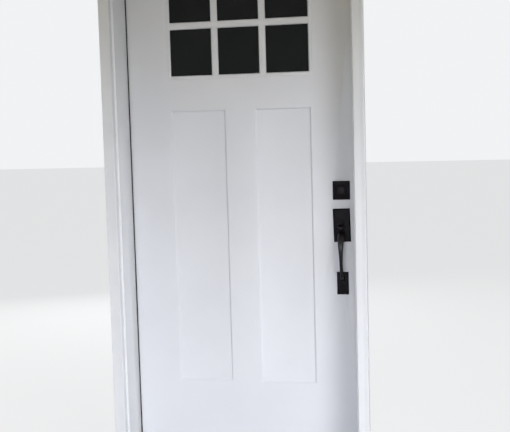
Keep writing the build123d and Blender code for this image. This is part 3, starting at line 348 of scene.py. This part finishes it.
def caulk_line(name, low, high, free_edge, finish):
    """A square bead between two corners in metres, hollowed by the finger along its free edge.

    The free edge is given by its place on each of the two axes that it doesn't run along.
    """
    bead = block(name, low, high)
    bpy.ops.object.mode_set(mode="EDIT")
    select_edges(bead, lambda end: all(abs(end[axis] - place) < NEAR for axis, place in free_edge.items()))
    bpy.ops.mesh.bevel(offset=CAULK_HOLLOW, segments=4, profile=0.25, affect="EDGES")
    bpy.ops.mesh.select_mode(type="VERT")
    bpy.ops.object.mode_set(mode="OBJECT")
    bpy.ops.object.shade_smooth_by_angle(angle=SMOOTH_BELOW)
    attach(bead, "frame")
    paint(bead, finish)


def join(pieces, name):
    """Makes one piece of several."""
    pick(*pieces)
    bpy.ops.object.join()
    pieces[0].name = pieces[0].data.name = name
    return pieces[0]


def discs(name, body, places, way, radius, proud, finish):
    """One low round disc modelled at the first place, then copied to the others and joined."""
    bpy.ops.object.select_all(action="DESELECT")
    turn = Vector(way).to_track_quat("Z", "Y").to_euler()
    bpy.ops.mesh.primitive_cylinder_add(
        vertices=24, radius=radius, depth=2 * proud, location=places[0], rotation=turn)
    first = bpy.context.active_object
    bpy.ops.object.transform_apply(location=True, rotation=True, scale=True)
    ease_edges(first, proud * DISC_ROUNDING)
    made = [first]
    for place in places[1:]:
        pick(first)
        bpy.ops.object.duplicate()
        bpy.ops.transform.translate(value=[b - a for a, b in zip(places[0], place)])
        bpy.ops.object.transform_apply(location=True, rotation=True, scale=True)
        made.append(bpy.context.active_object)
    joined = join(made, name)
    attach(joined, body)
    paint(joined, finish)


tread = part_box("sill_deck")[1].z
jamb_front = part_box("hinge_jamb")[0].y
opening_left, opening_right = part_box("brickmould_left")[1].x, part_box("brickmould_right")[0].x
opening_top = head_low.z
bead_front, bead_foot = jamb_front - CAULK, opening_top - CAULK
bead_left, bead_right = opening_left + CAULK, opening_right - CAULK
caulk_line("caulk_line_left", (opening_left, bead_front, tread), (bead_left, jamb_front, opening_top),
           {0: bead_left, 1: bead_front}, upright_paint)
caulk_line("caulk_line_right", (bead_right, bead_front, tread), (opening_right, jamb_front, opening_top),
           {0: bead_right, 1: bead_front}, upright_paint)
caulk_line("caulk_line_head", (opening_left, bead_front, bead_foot), (opening_right, jamb_front, opening_top),
           {1: bead_front, 2: bead_foot}, level_paint)

mould_flat = head_low.y + MOULD_RISE
nail_lines = (head_low.x + NAIL_LINE, head_high.x - NAIL_LINE)
nails = [(x, mould_flat, NAIL_FOOT + step * NAIL_PITCH) for x in nail_lines for step in range(NAILS_A_SIDE)]
discs("filled_nail_holes_sides", "frame", nails, (0, -1, 0),
      FILLER_RADIUS, FILLER_PROUD, upright_paint)
nails = [(step * HEAD_NAIL_PITCH, mould_flat, head_high.z - NAIL_LINE) for step in (-1, 0, 1)]
discs("filled_nail_holes_head", "frame", nails, (0, -1, 0),
      FILLER_RADIUS, FILLER_PROUD, level_paint)


# The seals: a foam-filled bulb in a dark skin pressed into the jambs' kerf, two soft wedges that close
# the bottom corners, and a dark vinyl sweep pressed into the kerfs of the door's bottom rail.

seal_skin = Finish("seal_skin")
pores = seal_skin.noise(2600, detail=1)
seal_skin.set("Base Color", seal_skin.drift(
    seal_skin.noise(40), 0.4, 0.7, tone(22, 21, 20), tone(32, 31, 29)))
seal_skin.set("Roughness", 0.55 + pores * 0.2)
seal_skin.bump(pores, 0.3, 0.0002)
for node in ("weatherstrip_left", "weatherstrip_right", "weatherstrip_head", "corner_pads", "door_sweep"):
    finish_node(node, seal_skin)


# The hinges: three pairs of pressed steel leaves in a satin plated finish, rolled into knuckles round
# a loose pin and held by flat-head screws of brighter zinc. The frame's own long screws are alike.

CROSS_LENGTH, FRAME_CROSS_LENGTH = 0.0046, 0.005
ARM_WIDTH, ARM_DEPTH = 0.2, 0.4
SCREW_TURN = 0.9
SQUARE_ON = 0.999
SMOOTH_HEADS_BELOW = math.radians(35)

hinge_plate = Finish("hinge_plating", metallic=1.0)
rolled = hinge_plate.noise(300, stretch=(1, 1, 0.08))
dulled = hinge_plate.noise(26, detail=4)
hinge_plate.set("Base Color", hinge_plate.drift(
    dulled, 0.4, 0.72, tone(186, 183, 176), tone(150, 146, 138)))
hinge_plate.set("Roughness", 0.26 + rolled * 0.10 + dulled * 0.12)
hinge_plate.bump(rolled, 0.18, 0.0003)
for node in frame["nodes"]:
    if "hinge" in node and ("leaf" in node or "pins" in node):
        finish_node(node, hinge_plate)


def cut_recesses(piece, way, across):
    """Sinks a driver's cross, this long, into every flat screw head of the piece that faces this way."""
    facing = Vector(way)
    heads = [face.center.copy() for face in piece.data.polygons
             if face.normal.dot(facing) > SQUARE_ON and face.area > across * across]
    arm_size = (across, across * ARM_WIDTH, 2 * across * ARM_DEPTH)
    for quarter in (0, 1):
        arms = []
        for number, head in enumerate(heads):
            turn = Quaternion((0, 0, 1), number * SCREW_TURN + quarter * math.pi / 2)
            rotation = (facing.to_track_quat("Z", "Y") @ turn).to_euler()
            bpy.ops.mesh.primitive_cube_add(size=1, location=head, rotation=rotation, scale=arm_size)
            arms.append(bpy.context.active_object)
        punch = join(arms, "cross_punch")
        recess = piece.modifiers.new("recess", "BOOLEAN")
        recess.operation, recess.solver, recess.object = "DIFFERENCE", "EXACT", punch
        pick(piece)
        bpy.ops.object.modifier_apply(modifier="recess")
        bpy.data.objects.remove(punch)
    bpy.ops.object.shade_smooth_by_angle(angle=SMOOTH_HEADS_BELOW)


def flat_head_screws(node, body, ways, finish, across=CROSS_LENGTH):
    """The screws of a node, each with a cross for the driver in its head."""
    screws = copy_solid(node, "cross_head_" + node, body)
    for way in ways:
        cut_recesses(screws, way, across)
    paint(screws, finish)


screw_zinc = Finish("screw_zinc", metallic=1.0)
tumbled = screw_zinc.noise(420)
screw_zinc.set("Base Color", screw_zinc.blend(tumbled, tone(222, 220, 214), tone(196, 193, 186)))
screw_zinc.set("Roughness", 0.2 + tumbled * 0.16)
screw_zinc.bump(tumbled, 0.1, 0.0002)
flat_head_screws("jamb_hinge_screws", "frame", [(1, 0, 0)], screw_zinc)
flat_head_screws("door_hinge_screws", "door", [(-1, 0, 0)], screw_zinc)
flat_head_screws("frame_screws", "frame", [(1, 0, 0), (-1, 0, 0)], screw_zinc,
                 across=FRAME_CROSS_LENGTH)


# The slab's core: pine stiles, rails and a lock block, edge painted with the door, round a block of
# pale foam.

EDGE_COAT_ENDS, EDGE_COAT_FULL = 0.0012, 0.0006

slab_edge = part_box("exterior_skin")[1].x
stile_wood = Finish("stile_wood")
grain = stile_wood.noise(70, stretch=(3, 3, 0.12), detail=4)
from_middle = stile_wood.axis("X").math("ABSOLUTE")
edge_coat = stile_wood.between(from_middle, slab_edge - EDGE_COAT_ENDS, slab_edge - EDGE_COAT_FULL)
bare = stile_wood.drift(grain, 0.35, 0.7, tone(214, 184, 140), tone(188, 152, 106))
stile_wood.set("Base Color", stile_wood.blend(edge_coat, bare, tone(226, 228, 230)))
stile_wood.set("Roughness", 0.62 - edge_coat * 0.2)
stile_wood.bump(grain, 0.25, 0.0003)
for node in ("hinge_stile", "lock_stile", "top_rail", "bottom_rail", "lock_block"):
    finish_node(node, stile_wood)

foam = Finish("foam", roughness=0.85)
cells = foam.noise(1200, detail=1)
foam.set("Base Color", foam.blend(cells, tone(226, 214, 178), tone(206, 190, 150)))
foam.bump(cells, 0.4, 0.0004)
finish_node("foam_core", foam)


# The door skins: two pressed sheets with two tall sunk panels each and a cut-out for the lights,
# sprayed smooth in a satin white with the faintest blue.

SKIN_ARRIS = 0.0016
SKIN_SPLASH_TOP, SKIN_SPLASH_FULL = 0.20, 0.07

door_coat = Finish("door_coat")
peel = door_coat.noise(700, detail=2)
sweep_cloud = door_coat.noise(3.2)
dust = door_coat.noise(30, detail=5)
foot = door_coat.between(door_coat.axis("Z") + dust * 0.12, SKIN_SPLASH_TOP, SKIN_SPLASH_FULL)
even = door_coat.drift(sweep_cloud, 0.36, 0.66, tone(229, 231, 234), tone(226, 228, 231))
door_coat.set("Base Color", door_coat.blend(foot * 0.28, even, tone(192, 187, 176)))
door_coat.set("Roughness", 0.36 + sweep_cloud * 0.10 + foot * 0.2)
door_coat.bump(peel, 0.12, 0.0003)
for side in ("exterior", "interior"):
    skin = copy_solid(side + "_skin", "pressed_" + side + "_skin", "door")
    ease_edges(skin, SKIN_ARRIS, segments=3)
    paint(skin, door_coat)


# The lights: a moulded frame each side with its glazing bars, screwed together from inside through
# holes with round plugs, and painted in the door's colour.

LIGHT_ARRIS = 0.0011
PLUG_LINE = 0.0048
PLUG_PITCH_LEVEL, PLUG_PITCH_UPRIGHT = 0.15, 0.13
PLUG_RADIUS, PLUG_PROUD = 0.0035, 0.0005

light_frame = Finish("light_frame")
fine = light_frame.noise(620, detail=2)
haze = light_frame.noise(7, detail=4)
light_frame.set("Base Color", light_frame.drift(
    haze, 0.36, 0.68, tone(229, 231, 233), tone(225, 227, 229)))
light_frame.set("Roughness", 0.38 + haze * 0.12)
light_frame.bump(fine, 0.12, 0.0003)
for side in ("exterior", "interior"):
    lights = copy_solid(side + "_lite_frame", "moulded_" + side + "_lite_frame", "door")
    ease_edges(lights, LIGHT_ARRIS, segments=3)
    paint(lights, light_frame)

lights_low, lights_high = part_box("interior_lite_frame")
middle_height = (lights_low.z + lights_high.z) / 2
plug_sides = (lights_low.x + PLUG_LINE, lights_high.x - PLUG_LINE)
plug_heights = (lights_low.z + PLUG_LINE, lights_high.z - PLUG_LINE)
plugs = [(x, lights_high.y, middle_height + step * PLUG_PITCH_UPRIGHT)
         for x in plug_sides for step in (-1, 0, 1)]
plugs += [(step * PLUG_PITCH_LEVEL, lights_high.y, z) for z in plug_heights for step in (-1, 0, 1)]
discs("lite_frame_plugs", "door", plugs, (0, 1, 0), PLUG_RADIUS, PLUG_PROUD, light_frame)


# The glass: a sealed unit of two dark panes on an aluminium spacer, clamped between the two frames,
# with a thin dark line of glazing sealant standing round every light on both sides.

LIGHT_LIP = 0.0137
MIDDLE_LIGHT = 0.160
GLAZING_BAR = 0.0275
SEALANT = 0.0016
SEALANT_ROUNDING = 0.55


def glazing_ring(column, row, pane_face, outwards):
    """The line of sealant round one light, square and then eased, standing on the pane's face."""
    (left, right), (bottom, top) = column, row
    bpy.ops.object.select_all(action="DESELECT")
    middle = ((left + right) / 2, pane_face, (bottom + top) / 2)
    bpy.ops.mesh.primitive_plane_add(size=1, location=middle, rotation=(math.radians(-90 * outwards), 0, 0))
    ring = bpy.context.active_object
    ring.scale = (right - left, top - bottom, 1)
    bpy.ops.object.transform_apply(location=True, rotation=True, scale=True)
    bpy.ops.object.mode_set(mode="EDIT")
    bpy.ops.mesh.select_all(action="SELECT")
    bpy.ops.mesh.inset(thickness=SEALANT)
    bpy.ops.mesh.delete(type="FACE")
    bpy.ops.mesh.select_all(action="SELECT")
    bpy.ops.mesh.extrude_region_move(TRANSFORM_OT_translate={"value": (0, outwards * SEALANT, 0)})
    bpy.ops.mesh.select_all(action="SELECT")
    bpy.ops.mesh.normals_make_consistent(inside=False)
    bpy.ops.object.mode_set(mode="OBJECT")
    ease_edges(ring, SEALANT * SEALANT_ROUNDING)
    return ring


outer_edge = lights_high.x - LIGHT_LIP
bar_start, bar_end = MIDDLE_LIGHT / 2, MIDDLE_LIGHT / 2 + GLAZING_BAR
columns = ((-outer_edge, -bar_end), (-bar_start, bar_start), (bar_end, outer_edge))
rows = ((lights_low.z + LIGHT_LIP, middle_height - GLAZING_BAR / 2),
        (middle_height + GLAZING_BAR / 2, lights_high.z - LIGHT_LIP))
outer_face, inner_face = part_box("outer_glass_pane")[0].y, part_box("inner_glass_pane")[1].y
for side, pane_face, outwards in (("exterior", outer_face, -1), ("interior", inner_face, 1)):
    rings = [glazing_ring(column, row, pane_face, outwards) for column in columns for row in rows]
    beads = join(rings, side + "_glazing_beads")
    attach(beads, "door")
    paint(beads, seal_skin)

glass = Finish("dark_glass", specular_ior_level=0.22)
film = glass.noise(7, stretch=(1, 1, 0.6), detail=4, roughness=0.6)
glass.set("Base Color", glass.blend(film, tone(16, 17, 19), tone(38, 42, 40)))
glass.set("Roughness", 0.03 + glass.between(film, 0.45, 0.8) * 0.05)
glass.set("Alpha", 0.88 + film * 0.06)
for node in ("outer_glass_pane", "inner_glass_pane"):
    finish_node(node, glass)

spacer = Finish("glass_spacer", metallic=1.0)
spacer_draw = spacer.noise(200, stretch=(0.1, 1, 0.1))
spacer.set("Base Color", spacer.blend(spacer_draw, tone(168, 170, 172), tone(146, 148, 150)))
spacer.set("Roughness", 0.35 + spacer_draw * 0.15)
finish_node("glass_spacer", spacer)


# The locks in the edge: two pressed cases with faceplates let into the stile, their bolts, and the
# strikes let into the jamb, all satin steel, held by flat-head screws of brighter zinc.

SMALL_CROSS_LENGTH = 0.004

lock_steel = Finish("lock_steel", metallic=1.0)
satin = lock_steel.noise(260, stretch=(1, 1, 0.1))
rubbed = lock_steel.noise(34, detail=4)
lock_steel.set("Base Color", lock_steel.drift(
    rubbed, 0.42, 0.7, tone(192, 189, 182), tone(158, 154, 146)))
lock_steel.set("Roughness", 0.24 + satin * 0.12 + rubbed * 0.1)
lock_steel.bump(satin, 0.15, 0.0002)
for node in ("latch_case", "deadbolt_case", "latch_bolt", "deadbolt_bolt", "latch_strike", "deadbolt_strike"):
    finish_node(node, lock_steel)
flat_head_screws("faceplate_screws", "door", [(1, 0, 0)], screw_zinc, across=SMALL_CROSS_LENGTH)
flat_head_screws("strike_screws", "frame", [(-1, 0, 0)], screw_zinc)


# The trim of both locks, powder coated black: cast plates outside in a matt coat, the bow grip, thumb
# piece, roses, knob and turn piece in one with more sheen, and the lock cylinder in blackened metal.

PLATE_ARRIS = 0.0007

black_coat = Finish("black_coat", specular_ior_level=0.14)
grit = black_coat.noise(1500, detail=2)
worn = black_coat.noise(24, detail=4)
black_coat.set("Base Color", black_coat.drift(worn, 0.4, 0.7, tone(11, 7, 12), tone(17, 11, 16)))
black_coat.set("Roughness", 0.42 + worn * 0.14)
black_coat.bump(grit, 0.2, 0.0002)
for node in ("deadbolt_escutcheon", "upper_handle_plate", "lower_handle_plate"):
    plate = copy_solid(node, "cast_" + node, "door")
    ease_edges(plate, PLATE_ARRIS)
    paint(plate, black_coat)
for node in ("deadbolt_screws", "handle_screws"):
    flat_head_screws(node, "door", [(0, 1, 0)], black_coat, across=SMALL_CROSS_LENGTH)

handled_coat = Finish("handled_coat", specular_ior_level=0.36)
rub = handled_coat.noise(18, stretch=(1, 1, 0.6), detail=4)
fine_grit = handled_coat.noise(1100, detail=2)
handled_coat.set("Base Color", handled_coat.drift(rub, 0.4, 0.7, tone(12, 8, 12), tone(20, 13, 17)))
handled_coat.set("Roughness", 0.26 + rub * 0.14)
handled_coat.bump(fine_grit, 0.1, 0.0002)
for node in ("deadbolt_rose", "thumb_turn", "bow_grip", "thumb_piece", "knob_rose", "inside_knob"):
    finish_node(node, handled_coat)

cylinder_metal = Finish("cylinder_metal", metallic=1.0)
turned = cylinder_metal.noise(400, detail=2)
cylinder_metal.set("Base Color", cylinder_metal.blend(turned, tone(38, 35, 36), tone(27, 25, 26)))
cylinder_metal.set("Roughness", 0.34 + turned * 0.14)
cylinder_metal.bump(turned, 0.1, 0.0002)
for node in ("lock_cylinder", "key_plug"):
    finish_node(node, cylinder_metal)


# The studio: a pale floor and an even pale backdrop, which metal and glass show more faintly than the
# camera does, with a faint white fill all round.

FLOOR_SIZE = 60
FLOOR_GLOW = 0.78
FILL = 0.06
BACKDROP = (0.88, 0.89, 0.90, 1)
MIRRORED = 0.35

bpy.ops.object.select_all(action="DESELECT")
bpy.ops.mesh.primitive_plane_add(size=FLOOR_SIZE, location=(0, 0, 0))
floor = bpy.context.active_object
floor.name = "studio_floor"
studio = Finish("studio_floor", roughness=0.9, specular_ior_level=0.2)
studio.set("Base Color", studio.blend(studio.noise(2), tone(206, 206, 205), tone(202, 202, 201)))
pale = studio.node("Emission", {}, {"Color": tone(250, 251, 252), "Strength": 1.0})
shaded = Value(studio, studio.shader.outputs[0])
seen_by_camera = studio.node("LightPath", {}, {}, "Is Camera Ray")
mixed = studio.node("MixShader", {}, {0: seen_by_camera * FLOOR_GLOW, 1: shaded, 2: pale})
studio.links.new(mixed.socket, studio.nodes["Material Output"].inputs["Surface"])
floor.data.materials.append(studio.material)

world = bpy.data.worlds.new("studio")
bpy.context.scene.world = world
world.use_nodes = True
air, links = world.node_tree.nodes, world.node_tree.links
fill, seen = air["Background"], air.new("ShaderNodeBackground")
fill.inputs["Color"].default_value = (1.0, 1.0, 1.0, 1)
fill.inputs["Strength"].default_value = FILL
seen.inputs["Color"].default_value = BACKDROP
seen.inputs["Strength"].default_value = 1.0
ray, choose = air.new("ShaderNodeLightPath"), air.new("ShaderNodeMixShader")
glossy, either = air.new("ShaderNodeMath"), air.new("ShaderNodeMath")
glossy.operation, either.operation = "MULTIPLY_ADD", "MAXIMUM"
glossy.inputs[1].default_value = MIRRORED
links.new(ray.outputs["Is Glossy Ray"], glossy.inputs[0])
links.new(ray.outputs["Is Transmission Ray"], glossy.inputs[2])
links.new(ray.outputs["Is Camera Ray"], either.inputs[0])
links.new(glossy.outputs[0], either.inputs[1])
links.new(either.outputs[0], choose.inputs[0])
links.new(fill.outputs[0], choose.inputs[1])
links.new(seen.outputs[0], choose.inputs[2])
links.new(choose.outputs[0], air["World Output"].inputs["Surface"])


# The lamps: two cool ones aimed at the door's foot, a wide warm one from the left and a small warm one
# on the lights, so that the door pales downwards, and three that light the sides and the inside.

def lamp(name, place, aim, width, height, spread, power, colour):
    """A soft lamp; a narrow spread lights what it is aimed at and fades around it."""
    bpy.ops.object.light_add(type="AREA", location=place)
    made = bpy.context.active_object
    made.name = name
    made.visible_camera = False
    made.rotation_euler = (Vector(aim) - Vector(place)).to_track_quat("-Z", "Y").to_euler()
    made.data.shape, made.data.size, made.data.size_y = "RECTANGLE", width, height
    made.data.spread = math.radians(spread)
    made.data.energy, made.data.color = power, colour


lamp("low_front", (0.3, -4.2, 1.0), (0.0, 0.0, 0.0), 1.6, 1.2, 60, 8.9, (0.85, 0.87, 0.98))
lamp("low_right", (2.42, -3.15, 2.25), (0.0, 0.0, 0.0), 1.6, 1.2, 60, 14.2, (0.95, 0.95, 0.98))
lamp("wide_left", (-4.0, -2.5, 2.0), (0.0, 0.0, 1.0), 2.5, 2.5, 180, 8.0, (1.0, 0.94, 0.62))
lamp("high_warm", (0.3, -3.0, 3.2), (0.0, 0.0, 2.1), 1.6, 0.8, 60, 1.4, (1.0, 0.80, 0.35))
lamp("back", (-1.6, 3.6, 2.0), (0.0, 0.0, 1.0), 2.6, 2.4, 180, 110, (0.98, 0.99, 1.0))
lamp("side_right", (4.2, 1.4, 1.7), (0.0, 0.1, 1.0), 2.2, 2.2, 180, 60, (0.98, 0.99, 1.0))
lamp("side_left", (-4.2, 0.9, 1.7), (0.0, 0.1, 1.0), 2.2, 2.2, 180, 30, (0.98, 0.99, 1.0))


# The camera: at the eye that the photograph's straight edges give, turned a little to the left and
# down and leaning slightly, with the same field of view.

EYE = (0.791, -3.550, 1.344)
YAW, PITCH, ROLL = (math.radians(angle) for angle in (-11.61, -5.35, -1.59))
FOCAL_PIXELS, PICTURE_WIDTH = 950.8, 510
SENSOR_WIDTH = 36.0

ahead = Vector((math.sin(YAW) * math.cos(PITCH), math.cos(YAW) * math.cos(PITCH), math.sin(PITCH)))
level = Vector((math.cos(YAW), -math.sin(YAW), 0))
above = level.cross(ahead)
right = math.cos(ROLL) * level + math.sin(ROLL) * above
up = -math.sin(ROLL) * level + math.cos(ROLL) * above
bpy.ops.object.camera_add()
camera = bpy.context.active_object
camera.matrix_world = Matrix.Translation(EYE) @ Matrix((right, up, -ahead)).transposed().to_4x4()
camera.data.sensor_fit, camera.data.sensor_width = "HORIZONTAL", SENSOR_WIDTH
camera.data.lens = FOCAL_PIXELS / PICTURE_WIDTH * SENSOR_WIDTH
bpy.context.scene.camera = camera
bpy.context.scene.view_settings.view_transform = "Standard"
